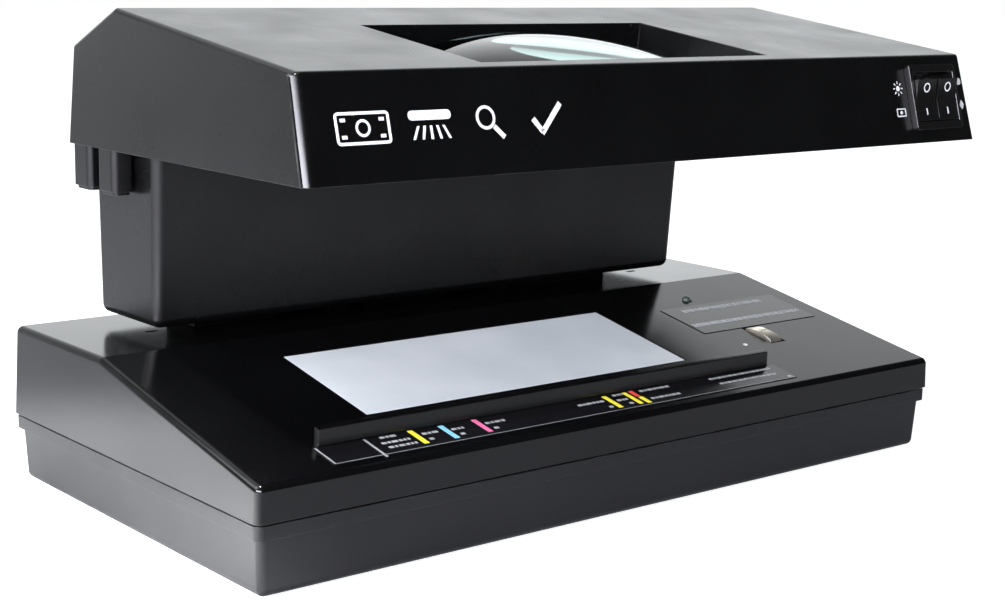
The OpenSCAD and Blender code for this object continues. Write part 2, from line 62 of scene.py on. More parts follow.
# Places are measured from the column's centre, the base's front edge and the head's lower edge
column_x = sum(corner[0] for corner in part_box("column_shell")) / 2
base_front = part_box("base_cover")[0][1]
head_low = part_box("head_cover")[0][2]

# ---------------------------------------------------------------- camera, floor and light

CAMERA_AT = Vector((-0.37046, -0.44194, 0.16119))
CAMERA_YAW = math.radians(39.42)
CAMERA_PITCH = math.radians(-10.63)
CAMERA_ROLL = math.radians(1.16)
FOCAL_LENGTH = 64.73
SENSOR_WIDTH = 36

# Direction towards the dark side of the surroundings, which is behind the camera
DARK_SIDE = (-0.5, -0.866, 0.7)
BRIGHT_STRENGTH = 1.6
DARK_STRENGTH = 0.05
FLOOR_REACH = 3.0

# Area lights: name, place, target, width and height, power, colour
AREA_LIGHTS = [
    ("overhead", (-0.3, 0.5, 1.6), (0, 0, 0), (1.6, 1.6), 8, (1, 1, 1)),
    ("window_left", (-1.2, 0.7, 1.2), (-0.1, 0.1, 0), (1.0, 1.0), 22, (0.93, 0.97, 1.0)),
    ("edge_window", (-0.8, -0.36, 0.3), (-0.14, -0.06, 0.12), (1.1, 0.2), 30, (0.9, 0.9, 1.0))]

# Spots that light the floor at the left of the base, for its left faces to mirror: name, y, power
FLOOR_POOLS = [("floor_pool_front", -0.04, 190), ("floor_pool_rear", 0.1, 80)]
FLOOR_POOL_X = -0.225
FLOOR_POOL_HEIGHT = 0.62
FLOOR_POOL_ANGLE = math.radians(19)


def add_camera():
    forward = Vector((
        math.sin(CAMERA_YAW) * math.cos(CAMERA_PITCH),
        math.cos(CAMERA_YAW) * math.cos(CAMERA_PITCH),
        math.sin(CAMERA_PITCH)))
    level = Vector((math.cos(CAMERA_YAW), -math.sin(CAMERA_YAW), 0))
    upright = level.cross(forward)
    right = level * math.cos(CAMERA_ROLL) + upright * math.sin(CAMERA_ROLL)
    up = upright * math.cos(CAMERA_ROLL) - level * math.sin(CAMERA_ROLL)
    data = bpy.data.cameras.new("camera")
    data.lens = FOCAL_LENGTH
    data.sensor_width = SENSOR_WIDTH
    data.clip_start = 0.01
    camera = bpy.data.objects.new("camera", data)
    turn = Matrix((right, up, -forward)).transposed().to_4x4()
    camera.matrix_world = Matrix.Translation(CAMERA_AT) @ turn
    bpy.context.collection.objects.link(camera)
    bpy.context.scene.camera = camera


def area_light(name, at, target, size, power, color):
    data = bpy.data.lights.new(name, "AREA")
    data.shape = "RECTANGLE"
    data.size, data.size_y = size
    data.energy = power
    data.color = color
    light = bpy.data.objects.new(name, data)
    light.location = at
    light.rotation_euler = (Vector(target) - Vector(at)).to_track_quat("-Z", "Y").to_euler()
    bpy.context.collection.objects.link(light)


def add_world():
    """Surroundings that fall off to dark where the front faces mirror them, behind plain white."""
    world = bpy.data.worlds.new("studio")
    bpy.context.scene.world = world
    world.use_nodes = True
    tree = world.node_tree
    tree.nodes.clear()
    direction = tree.nodes.new("ShaderNodeTexCoord")
    toward = tree.nodes.new("ShaderNodeVectorMath")
    toward.operation = "DOT_PRODUCT"
    toward.inputs[1].default_value = DARK_SIDE
    tree.links.new(direction.outputs["Generated"], toward.inputs[0])
    falloff = tree.nodes.new("ShaderNodeMapRange")
    falloff.interpolation_type = "SMOOTHSTEP"
    falloff.inputs["From Min"].default_value = -0.8
    falloff.inputs["From Max"].default_value = 0.0
    falloff.inputs["To Min"].default_value = BRIGHT_STRENGTH
    falloff.inputs["To Max"].default_value = DARK_STRENGTH
    tree.links.new(toward.outputs["Value"], falloff.inputs["Value"])
    surroundings = tree.nodes.new("ShaderNodeBackground")
    surroundings.inputs["Color"].default_value = (0.95, 0.98, 1.0, 1)
    tree.links.new(falloff.outputs["Result"], surroundings.inputs["Strength"])
    backdrop = tree.nodes.new("ShaderNodeBackground")
    backdrop.inputs["Color"].default_value = (1, 1, 1, 1)
    backdrop.inputs["Strength"].default_value = 1.0
    path = tree.nodes.new("ShaderNodeLightPath")
    mix = tree.nodes.new("ShaderNodeMixShader")
    tree.links.new(path.outputs["Is Camera Ray"], mix.inputs["Fac"])
    tree.links.new(surroundings.outputs["Background"], mix.inputs[1])
    tree.links.new(backdrop.outputs["Background"], mix.inputs[2])
    output = tree.nodes.new("ShaderNodeOutputWorld")
    tree.links.new(mix.outputs["Shader"], output.inputs["Surface"])


def add_stage(material):
    reach = FLOOR_REACH
    corners = [(-reach, -reach, 0), (reach, -reach, 0), (reach, reach, 0), (-reach, reach, 0)]
    mesh = bpy.data.meshes.new("floor")
    mesh.from_pydata(corners, [], [(0, 1, 2, 3)])
    floor = bpy.data.objects.new("floor", mesh)
    floor.data.materials.append(material)
    bpy.context.collection.objects.link(floor)


def add_lights():
    for settings in AREA_LIGHTS:
        area_light(*settings)
    for name, y, power in FLOOR_POOLS:
        pool = bpy.data.lights.new(name, "SPOT")
        pool.energy = power
        pool.spot_size = FLOOR_POOL_ANGLE
        pool.spot_blend = 1.0
        pool.shadow_soft_size = 0.05
        spot = bpy.data.objects.new(name, pool)
        spot.location = (FLOOR_POOL_X, y, FLOOR_POOL_HEIGHT)
        bpy.context.collection.objects.link(spot)


# ---------------------------------------------------------------- material parts


# Places of the colour sockets among the Mix node's inputs and outputs
MIX_A = 6
MIX_B = 7
MIX_RESULT = 2


class Nodes:
    """One material's node tree, with short calls for what the materials below have in common."""

    def __init__(self, name):
        self.material = bpy.data.materials.new(name)
        self.material.use_nodes = True
        self.tree = self.material.node_tree
        self.shader = self.tree.nodes["Principled BSDF"]
        self.place = self.add("ShaderNodeTexCoord").outputs["Object"]

    def add(self, kind, **settings):
        node = self.tree.nodes.new(kind)
        for key, value in settings.items():
            setattr(node, key, value)
        return node

    def put(self, socket, value):
        """Links an output to the socket, or sets a plain value on it."""
        if isinstance(value, bpy.types.NodeSocket):
            self.tree.links.new(value, socket)
        elif isinstance(value, tuple) and len(value) == 3 and socket.type == "RGBA":
            socket.default_value = (*value, 1)
        else:
            socket.default_value = value

    def noise(self, size, detail=3.0, stretch=(1, 1, 1)):
        """Noise whose features measure about size millimetres."""
        mapping = self.add("ShaderNodeMapping")
        self.put(mapping.inputs["Vector"], self.place)
        mapping.inputs["Scale"].default_value = stretch
        noise = self.add("ShaderNodeTexNoise")
        self.put(noise.inputs["Vector"], mapping.outputs["Vector"])
        noise.inputs["Scale"].default_value = 1 / (size * MM)
        noise.inputs["Detail"].default_value = detail
        return noise.outputs["Fac"]

    def span(self, factor, low, high, start=0.3, end=0.7):
        """Maps factor from start..end to low..high."""
        node = self.add("ShaderNodeMapRange")
        self.put(node.inputs["Value"], factor)
        node.inputs["From Min"].default_value = start
        node.inputs["From Max"].default_value = end
        node.inputs["To Min"].default_value = low
        node.inputs["To Max"].default_value = high
        return node.outputs["Result"]

    def blend(self, factor, a, b):
        node = self.add("ShaderNodeMix", data_type="RGBA")
        self.put(node.inputs["Factor"], factor)
        self.put(node.inputs[MIX_A], a)
        self.put(node.inputs[MIX_B], b)
        return node.outputs[MIX_RESULT]

    def math(self, operation, a, b):
        node = self.add("ShaderNodeMath", operation=operation)
        self.put(node.inputs[0], a)
        self.put(node.inputs[1], b)
        return node.outputs["Value"]

    def edges(self, radius):
        """1 on convex and concave edges within radius millimetres, 0 on open faces."""
        bevel = self.add("ShaderNodeBevel", samples=4)
        bevel.inputs["Radius"].default_value = radius * MM
        geometry = self.add("ShaderNodeNewGeometry")
        dot = self.add("ShaderNodeVectorMath", operation="DOT_PRODUCT")
        self.put(dot.inputs[0], bevel.outputs["Normal"])
        self.put(dot.inputs[1], geometry.outputs["Normal"])
        return self.span(dot.outputs["Value"], 1.0, 0.0, 0.8, 0.99)

    def bump(self, height, depth, strength=1.0):
        """Relief of depth millimetres on the shader's normal, on top of what is there."""
        node = self.add("ShaderNodeBump")
        self.put(node.inputs["Height"], height)
        node.inputs["Distance"].default_value = depth * MM
        node.inputs["Strength"].default_value = strength
        normal = self.shader.inputs["Normal"]
        if normal.is_linked:
            self.put(node.inputs["Normal"], normal.links[0].from_socket)
        self.put(normal, node.outputs["Normal"])

    def look(self, color, roughness, **constants):
        self.put(self.shader.inputs["Base Color"], color)
        self.put(self.shader.inputs["Roughness"], roughness)
        for key, value in constants.items():
            self.put(self.shader.inputs[key.replace("_", " ")], value)
        return self.material


def moulded(name, color, tone, roughness, grain=0.35, depth=0.004, wear=None, **constants):
    """Moulded plastic or rubber: slow tone changes, fine grain, smudges and, with wear, rubbed edges."""
    n = Nodes(name)
    surface = n.blend(n.span(n.noise(45, 2), 0.0, 1.0), color, tone)
    speckle = n.span(n.noise(grain * 2.2, 2), 0.0, 1.0, 0.62, 0.75)
    surface = n.blend(n.math("MULTIPLY", speckle, 0.25), surface, tuple(min(1, c * 2.2) for c in tone))
    low, high = roughness
    rough = n.span(n.noise(28, 5), low, high)
    if wear:
        rubbed = n.math("MULTIPLY", n.edges(0.5), n.span(n.noise(9, 5), 0.0, 0.8, 0.42, 0.62))
        surface = n.blend(rubbed, surface, wear)
        rough = n.math("SUBTRACT", rough, n.math("MULTIPLY", rubbed, 0.08))
    n.bump(n.noise(grain, 2), depth)
    n.bump(n.noise(60, 1), 0.02)
    return n.look(surface, rough, **constants)


def metal(name, color, tone, roughness, stretch=(1, 1, 8), grain=0.6, depth=0.003, **constants):
    """Worked metal: fine lines that run along the axes with a small stretch, dull patches, bright edges."""
    n = Nodes(name)
    lines = n.noise(grain, 4, stretch)
    surface = n.blend(n.span(n.noise(7, 4), 0.0, 1.0), color, tone)
    surface = n.blend(n.math("MULTIPLY", n.edges(0.3), 0.5), surface, (0.9, 0.9, 0.9))
    low, high = roughness
    rough = n.math("ADD", n.span(lines, low, high), n.span(n.noise(5, 5), 0.0, 0.12, 0.5, 0.7))
    n.bump(lines, depth)
    return n.look(surface, rough, Metallic=1.0, **constants)


def clear(name, color, roughness, cloud=0.0, **constants):
    """Glass or clear plastic with faint moulding waves and a trace of dust."""
    n = Nodes(name)
    dust = n.span(n.noise(1.2, 6), 0.0, 0.05 + cloud, 0.6, 0.8)
    low, high = roughness
    rough = n.math("ADD", n.span(n.noise(12, 3), low, high), dust)
    n.bump(n.noise(22, 2), 0.006)
    return n.look(n.blend(n.span(n.noise(30, 2), 0.0, 0.3), color, (1, 1, 1)), rough, **constants)


def stage_floor(name):
    """Pale matte floor, lifted a little towards white where the camera sees it directly."""
    n = Nodes(name)
    surface = n.blend(n.span(n.noise(45, 2), 0.0, 1.0), (0.62, 0.63, 0.64), (0.64, 0.65, 0.66))
    path = n.add("ShaderNodeLightPath")
    n.put(n.shader.inputs["Emission Color"], (0.97, 0.985, 1.0))
    n.put(n.shader.inputs["Emission Strength"], n.math("MULTIPLY", path.outputs["Is Camera Ray"], 0.85))
    n.bump(n.noise(1.5, 2), 0.01)
    return n.look(surface, n.span(n.noise(28, 5), 0.55, 0.65), Specular_IOR_Level=0.1)


def ink(name, color):
    """Pad-printed ink, slightly uneven and thin in places."""
    n = Nodes(name)
    dull = tuple(c * 0.72 for c in color)
    n.bump(n.noise(0.25, 3), 0.006)
    surface = n.blend(n.span(n.noise(0.8, 4), 0.0, 1.0, 0.4, 0.75), color, dull)
    return n.look(surface, n.span(n.noise(3, 3), 0.38, 0.55))


def circuit(name):
    """Solder mask with copper tracks under it and tinned pads."""
    n = Nodes(name)
    mapping = n.add("ShaderNodeMapping")
    n.put(mapping.inputs["Vector"], n.place)
    mapping.inputs["Scale"].default_value = (1, 1, 0.02)
    cells = n.add("ShaderNodeTexVoronoi", feature="DISTANCE_TO_EDGE", distance="CHEBYCHEV")
    n.put(cells.inputs["Vector"], mapping.outputs["Vector"])
    cells.inputs["Scale"].default_value = 1 / (5 * MM)
    track = n.span(cells.outputs["Distance"], 1.0, 0.0, 0.02, 0.06)
    pads = n.add("ShaderNodeTexVoronoi", feature="F1")
    n.put(pads.inputs["Vector"], mapping.outputs["Vector"])
    pads.inputs["Scale"].default_value = 1 / (4 * MM)
    pad = n.span(pads.outputs["Distance"], 1.0, 0.0, 0.10, 0.14)
    surface = n.blend(track, (0.012, 0.09, 0.035), (0.02, 0.16, 0.06))
    surface = n.blend(pad, surface, (0.55, 0.54, 0.5))
    n.bump(track, 0.03)
    return n.look(surface, n.span(n.noise(6, 3), 0.3, 0.42))


def laminated(name):
    """Stacked core sheets, seen as fine lines."""
    n = Nodes(name)
    bands = n.add("ShaderNodeTexWave", bands_direction="Y")
    n.put(bands.inputs["Vector"], n.place)
    bands.inputs["Scale"].default_value = 1 / (3 * MM)
    bands.inputs["Distortion"].default_value = 0.4
    n.bump(bands.outputs["Fac"], 0.08)
    sheets = n.span(bands.outputs["Fac"], 0.0, 1.0, 0.2, 0.8)
    surface = n.blend(sheets, (0.06, 0.06, 0.065), (0.2, 0.2, 0.21))
    return n.look(surface, n.span(n.noise(4, 4), 0.35, 0.6), Metallic=0.8)


def sleeve(name):
    """Braided sleeve over the wires."""
    n = Nodes(name)
    weave = n.add("ShaderNodeTexChecker")
    n.put(weave.inputs["Vector"], n.place)
    weave.inputs["Scale"].default_value = 1 / (0.8 * MM)
    n.bump(weave.outputs["Fac"], 0.08)
    surface = n.blend(n.span(n.noise(3, 4), 0.0, 1.0), (0.02, 0.02, 0.02), (0.05, 0.05, 0.05))
    return n.look(surface, n.span(n.noise(2, 3), 0.55, 0.75))


materials = {
    "floor": stage_floor("pale_floor"),
    "cover": moulded("cover_plastic", (0.0012, 0.0012, 0.0013), (0.002, 0.0021, 0.0022), (0.11, 0.2),
                     0.3, 0.003, (0.03, 0.03, 0.031), Specular_IOR_Level=0.3),
    "tray": moulded("tray_plastic", (0.004, 0.0042, 0.0046), (0.006, 0.0063, 0.007), (0.34, 0.44),
                    0.35, 0.010, (0.05, 0.05, 0.052), Specular_IOR_Level=0.33),
    "head": moulded("head_plastic", (0.0012, 0.0012, 0.0013), (0.002, 0.0021, 0.0022), (0.24, 0.32),
                    0.3, 0.005, (0.04, 0.04, 0.042), Specular_IOR_Level=0.35),
    "nylon": moulded("switch_plastic", (0.003, 0.003, 0.003), (0.006, 0.006, 0.006), (0.14, 0.24),
                     0.25, 0.002, (0.05, 0.05, 0.05)),
    "rubber": moulded("soft_rubber", (0.012, 0.012, 0.012), (0.022, 0.022, 0.022), (0.6, 0.8), 0.5, 0.02),
    "case": moulded("component_case", (0.012, 0.012, 0.013), (0.02, 0.02, 0.02), (0.35, 0.5), 0.3, 0.01),
    "socket": moulded("socket_plastic", (0.62, 0.59, 0.5), (0.7, 0.68, 0.6), (0.35, 0.5), 0.4, 0.008),
    "film": moulded("label_film", (0.004, 0.004, 0.0045), (0.007, 0.007, 0.008), (0.10, 0.2), 0.2, 0.002),
    "screw": metal("zinc_screw", (0.55, 0.56, 0.58), (0.42, 0.43, 0.46), (0.22, 0.38), (1, 1, 1)),
    "reflector": metal("reflector_sheet", (0.8, 0.8, 0.81), (0.7, 0.7, 0.72), (0.12, 0.25), (0.05, 1, 1)),
    "sensor": metal("sensor_shell", (0.92, 0.87, 0.76), (0.8, 0.7, 0.52), (0.26, 0.4), (1, 0.08, 1)),
    "brass": metal("terminal_brass", (0.72, 0.56, 0.28), (0.55, 0.41, 0.2), (0.22, 0.36)),
    "cap": metal("lamp_cap", (0.72, 0.72, 0.73), (0.6, 0.6, 0.62), (0.18, 0.3), (0.1, 1, 1)),
    "lens": clear("lens_acrylic", (0.52, 0.76, 0.72), (0.0, 0.015), Transmission_Weight=1.0, IOR=1.45),
    "frost": clear("frosted_acrylic", (0.62, 0.66, 0.67), (0.32, 0.42), 0.1, Transmission_Weight=0.25),
    "phosphor": clear("white_lamp", (0.88, 0.88, 0.86), (0.12, 0.2), 0.02),
    "violet": clear("uv_lamp", (0.035, 0.015, 0.11), (0.05, 0.12), 0.02,
                    Coat_Weight=0.6, Coat_Roughness=0.03),
    "led": clear("led_lens", (0.02, 0.045, 0.03), (0.05, 0.12), 0.02, Transmission_Weight=0.35),
    "board": circuit("board"),
    "core": laminated("core_steel"),
    "sleeve": sleeve("cable_sleeve"),
    "white_ink": ink("white_ink", (0.78, 0.79, 0.8)),
    "grey_ink": ink("grey_ink", (0.3, 0.305, 0.31)),
    "faint_ink": ink("faint_ink", (0.42, 0.43, 0.45)),
    "scale_ink": ink("scale_ink", (0.36, 0.365, 0.37)),
    "yellow_ink": ink("yellow_ink", (0.85, 0.76, 0.05)),
    "blue_ink": ink("blue_ink", (0.25, 0.6, 0.78)),
    "pink_ink": ink("pink_ink", (0.85, 0.17, 0.36)),
    "red_ink": ink("red_ink", (0.75, 0.07, 0.05)),
}

finish_of_slot = {
    "black_abs": "head", "switch_plastic": "nylon", "rubber": "rubber", "cable_sleeve": "sleeve",
    "screw_steel": "screw", "core_steel": "core", "frosted_acrylic": "frost", "lens_acrylic": "lens",
    "white_lamp": "phosphor", "uv_lamp": "violet", "socket_plastic": "socket",
    "reflector_sheet": "reflector", "board": "board", "component_black": "case",
    "sensor_shell": "sensor", "led_lens": "led", "label_film": "film", "terminal_brass": "brass"}
finish_of_node = {"base_tray": "tray", "base_cover": "cover"}

# ---------------------------------------------------------------- pieces


def piece(name, mesh, material, node, replaces=True):
    """Puts a mesh in the scene on the CAD node's body, in the node's place if asked."""
    mesh.materials.clear()
    mesh.materials.append(materials[material])
    shown = bpy.data.objects.new(name, mesh)
    bpy.context.collection.objects.link(shown)
    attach(shown, body_of[node])
    if replaces:
        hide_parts(node)
    return shown


# Edges that turn by more than this are rounded where they are long, and shaded as creases
SHARP = math.radians(38)

FINE_RADIUS = 0.25
FILM_RADIUS = 0.05


def sharp_groups(bm, angle):
    """Sharp edges, grouped by the corners that they share."""
    sharp = {e for e in bm.edges if len(e.link_faces) == 2 and e.calc_face_angle(0) > angle}
    groups = []
    while sharp:
        stack = [sharp.pop()]
        group = []
        while stack:
            edge = stack.pop()
            group.append(edge)
            for corner in edge.verts:
                for other in corner.link_edges:
                    if other in sharp:
                        sharp.remove(other)
                        stack.append(other)
        groups.append(group)
    return groups


def extent(group):
    points = [corner.co for edge in group for corner in edge.verts]
    return max(max(p[i] for p in points) - min(p[i] for p in points) for i in range(3))


def refine(node, radius=FINE_RADIUS, smallest=7.0, segments=2):
    """A copy of the CAD node with its long sharp edges rounded and its curves shaded smooth."""
    bm = bmesh.new()
    bm.from_mesh(nodes[node].data)
    bmesh.ops.remove_doubles(bm, verts=bm.verts, dist=0.002 * MM)
    bmesh.ops.dissolve_limit(bm, angle_limit=math.radians(0.5), verts=bm.verts, edges=bm.edges)
    chosen = [e for group in sharp_groups(bm, SHARP) if extent(group) > smallest * MM for e in group]
    bmesh.ops.bevel(
        bm, geom=chosen, offset=radius * MM, offset_type="OFFSET", segments=segments, profile=0.5,
        affect="EDGES", clamp_overlap=radius > 1)
    bmesh.ops.remove_doubles(bm, verts=bm.verts, dist=0.001 * MM)
    for face in bm.faces:
        face.smooth = True
    for edge in bm.edges:
        edge.smooth = len(edge.link_faces) == 2 and edge.calc_face_angle(0) < SHARP
    mesh = bpy.data.meshes.new(node + "_finished")
    bm.to_mesh(mesh)
    bm.free()
    finish = finish_of_node.get(node, finish_of_slot[slot_of[node]])
    shown = piece(node + "_finished", mesh, finish, node)
    normals = shown.modifiers.new("flat_faces", "WEIGHTED_NORMAL")
    normals.keep_sharp = True
    return shown


# The head's upright edge and how its front and its left side lean back, in millimetres and slopes
HEAD_EDGE_RADIUS = 1.5
HEAD_FRONT_LEAN = 0.2822
HEAD_SIDE_LEAN = 0.0423
HEAD_FRONT_HEIGHT = 28.6
TOUCH = 0.02


def make_head_cover():
    """The head's upper shell, with the upright edge left of its front rounded twice as wide."""
    shown = refine("head_cover")
    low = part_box("head_cover")[0]
    for corner in shown.data.vertices:
        height = corner.co.z - low[2]
        if height > HEAD_FRONT_HEIGHT * MM:
            continue
        behind = corner.co.y - low[1] - height * HEAD_FRONT_LEAN
        inward = corner.co.x - low[0] - height * HEAD_SIDE_LEAN
        reach = (HEAD_EDGE_RADIUS + TOUCH) * MM
        if inward < reach and behind < reach:
            corner.co.x += max(inward, 0)
            corner.co.y += max(behind, 0)


PINCH_DEPTH = 0.32
PINCH_REACH = 1.7


def make_sensor():
    """The magnetic head's polished face, pinched in at its sensing gap."""
    shown = refine("magnetic_head")
    centre = box_centre("magnetic_head")
    for corner in shown.data.vertices:
        pinch = PINCH_DEPTH * math.exp(-((corner.co.y - centre.y) / (PINCH_REACH * MM)) ** 2)
        corner.co.x = centre.x + (corner.co.x - centre.x) * (1 - pinch)
    gap = Marks(on_deck("magnetic_head", (centre.x - column_x) / MM, (centre.y - base_front) / MM))
    gap.bar(0, 0, 2.4, 0.35)
    gap.finish("magnetic_head_gap", "case", "magnetic_head")


def make_spring():
    """The spring under the magnetic head, on a mesh of its own."""
    shown = refine("magnet_spring")
    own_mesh(shown)


trees = {}


def ray_frame(node, start, direction, right=(1, 0, 0)):
    """Where a ray meets the node, as a matrix whose X is close to right and Z is the surface's normal."""
    if node not in trees:
        bm = bmesh.new()
        bm.from_mesh(nodes[node].data)
        trees[node] = BVHTree.FromBMesh(bm)
        bm.free()
    at, normal, _, _ = trees[node].ray_cast(Vector(start), Vector(direction))
    across = (Vector(right) - normal * normal.dot(Vector(right))).normalized()
    return Matrix.Translation(at) @ Matrix((across, normal.cross(across), normal)).transposed().to_4x4()


def on_deck(node, x, y):
    return ray_frame(node, (column_x + x * MM, base_front + y * MM, head_low), (0, 0, -1))


def on_front(node, x, z):
    return ray_frame(node, (column_x + x * MM, base_front - 0.1, head_low + z * MM), (0, 1, 0))


class Marks:
    """Thin closed solids, drawn as outlines in millimetres on one surface."""

    sink = 0.06
    rise = 0.05

    def __init__(self, frame_matrix):
        self.matrix = frame_matrix
        self.points = []
        self.faces = []

    def layer(self, loop, height):
        first = len(self.points)
        self.points += [self.matrix @ Vector((x * MM, y * MM, height * MM)) for x, y in loop]
        return list(range(first, first + len(loop)))

    def fill(self, loop):
        low = self.layer(loop, -self.sink)
        high = self.layer(loop, self.rise)
        self.faces += [high, low[::-1]]
        self.walls(low, high)

    def walls(self, low, high):
        count = len(low)
        self.faces += [(low[i], low[(i + 1) % count], high[(i + 1) % count], high[i]) for i in range(count)]

    def ring(self, outer, inner):
        """Closed band between two outlines with the same number of points."""
        low, high = self.layer(outer, -self.sink), self.layer(outer, self.rise)
        low_in, high_in = self.layer(inner, -self.sink), self.layer(inner, self.rise)
        self.walls(low, high)
        self.walls(low_in[::-1], high_in[::-1])
        self.walls(high, high_in)
        self.walls(low_in, low)

    def bar(self, x, y, w, h, lean=0.0):
        """Upright bar round (x, y), its top pushed sideways by lean."""
        self.fill([(x - w / 2 - lean / 2, y - h / 2), (x + w / 2 - lean / 2, y - h / 2),
                   (x + w / 2 + lean / 2, y + h / 2), (x - w / 2 + lean / 2, y + h / 2)])

    def stroke(self, x0, y0, x1, y1, width):
        """Straight line of the given width between two points."""
        start, end = Vector((x0, y0)), Vector((x1, y1))
        side = (end - start).normalized().orthogonal() * width / 2
        self.fill([tuple(start - side), tuple(end - side), tuple(end + side), tuple(start + side)])

    def polar(self, x, y, r, angle):
        return x + r * math.cos(angle), y + r * math.sin(angle)

    def circle(self, x, y, r, count=32):
        turn = 2 * math.pi / count
        return [self.polar(x, y, r, i * turn) for i in range(count)]

    def rounded(self, x, y, w, h, r, count=6):
        loop = []
        for side, (sx, sy) in enumerate([(1, 1), (-1, 1), (-1, -1), (1, -1)]):
            for i in range(count + 1):
                a = math.pi / 2 * (side + i / count)
                loop.append(self.polar(x + sx * (w / 2 - r), y + sy * (h / 2 - r), r, a))
        return loop

    def frame(self, x, y, w, h, r, line):
        inner = self.rounded(x, y, w - 2 * line, h - 2 * line, max(r - line, 0.05))
        self.ring(self.rounded(x, y, w, h, r), inner)

    def hoop(self, x, y, r, line):
        self.ring(self.circle(x, y, r), self.circle(x, y, r - line))

    def finish(self, name, material, node):
        mesh = bpy.data.meshes.new(name)
        mesh.from_pydata(self.points, [], self.faces)
        bm = bmesh.new()
        bm.from_mesh(mesh)
        bmesh.ops.recalc_face_normals(bm, faces=bm.faces)
        bm.to_mesh(mesh)
        bm.free()
        return piece(name, mesh, material, node, replaces=False)


def lathe(profile, matrix, steps=64, into=None):
    """Solid of revolution about the matrix's Z from (radius, height) pairs in millimetres."""
    bm = into or bmesh.new()
    rings = []
    for r, z in profile:
        if r == 0:
            rings.append([bm.verts.new(matrix @ Vector((0, 0, z * MM)))])
            continue
        turns = [2 * math.pi * i / steps for i in range(steps)]
        rings.append([bm.verts.new(matrix @ Vector((r * MM * math.cos(a), r * MM * math.sin(a), z * MM)))
                      for a in turns])
    for low, high in zip(rings, rings[1:]):
        for i in range(steps):
            j = (i + 1) % steps
            if len(low) == 1:
                bm.faces.new((low[0], high[j], high[i]))
            elif len(high) == 1:
                bm.faces.new((low[i], low[j], high[0]))
            else:
                bm.faces.new((low[i], low[j], high[j], high[i]))
    return bm


def smooth_mesh(name, bm, angle=35):
    bmesh.ops.recalc_face_normals(bm, faces=bm.faces)
    for face in bm.faces:
        face.smooth = True
    for edge in bm.edges:
        edge.smooth = edge.calc_face_angle(0) < math.radians(angle)
    mesh = bpy.data.meshes.new(name)
    bm.to_mesh(mesh)
    bm.free()
    return mesh


def box_centre(node):
    low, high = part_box(node)
    return (Vector(low) + Vector(high)) / 2


# ---------------------------------------------------------------- lens

DOME_RADIUS = 145.0
LENS_RADIUS = 55.4
LENS_HALF_DEPTH = 27.2
LENS_THICKNESS = 12.3
LENS_GAP = 0.15


def lens_frame():
    """Top centre of the dome, with Z along the lens's axis."""
    low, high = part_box("magnifier_lens")
    slope = ray_frame("head_cover", (column_x - 0.06, base_front + 0.05, head_low + 0.1), (0, 0, -1))
    middle = ((low[0] + high[0]) / 2, (low[1] + high[1]) / 2)
    crown = ray_frame("magnifier_lens", (*middle, high[2] + 0.02), (0, 0, -1))
    tilt = slope.to_3x3()
    inside = crown.translation - crown.to_3x3().col[2] * DOME_RADIUS * MM
    top = inside + tilt.col[2] * DOME_RADIUS * MM
    top.x = middle[0]
    return Matrix.Translation(top) @ tilt.to_4x4()


def make_lens():
    """Plano-convex lens: domed rings out to a round rim with flat front and back."""
    matrix = lens_frame()
    steps, rings = 192, 28
    bm = bmesh.new()
    top, bottom = [], []
    for k in range(1, rings + 1):
        upper, lower = [], []
        for i in range(steps):
            a = 2 * math.pi * i / steps
            limit = min(LENS_RADIUS, LENS_HALF_DEPTH / max(abs(math.sin(a)), 1e-6)) - LENS_GAP
            r = limit * k / rings
            x, y = r * math.cos(a), r * math.sin(a)
            z = math.sqrt(DOME_RADIUS ** 2 - r * r) - DOME_RADIUS
            upper.append(bm.verts.new(matrix @ Vector((x * MM, y * MM, z * MM))))
            lower.append(bm.verts.new(matrix @ Vector((x * MM, y * MM, -LENS_THICKNESS * MM))))
        top.append(upper)
        bottom.append(lower)
    for layers, depth in ((top, 0), (bottom, -LENS_THICKNESS)):
        centre = bm.verts.new(matrix @ Vector((0, 0, depth * MM)))
        for i in range(steps):
            j = (i + 1) % steps
            bm.faces.new((centre, layers[0][i], layers[0][j]))
            for inner, outer in zip(layers, layers[1:]):
                bm.faces.new((inner[i], outer[i], outer[j], inner[j]))
    for i in range(steps):
        j = (i + 1) % steps
        bm.faces.new((top[-1][i], bottom[-1][i], bottom[-1][j], top[-1][j]))
    piece("magnifier_lens_clear", smooth_mesh("magnifier_lens_clear", bm), "lens", "magnifier_lens")


# ---------------------------------------------------------------- lamps, feet and indicator

TUBE_RADIUS = 7.6
CAP_RADIUS = 8.0
CAP_LENGTH = 7.0
PIN_LENGTH = 5.0
PIN_RADIUS = 1.1
PIN_OFFSET = 2.4
FOOT_RADIUS = 6.8


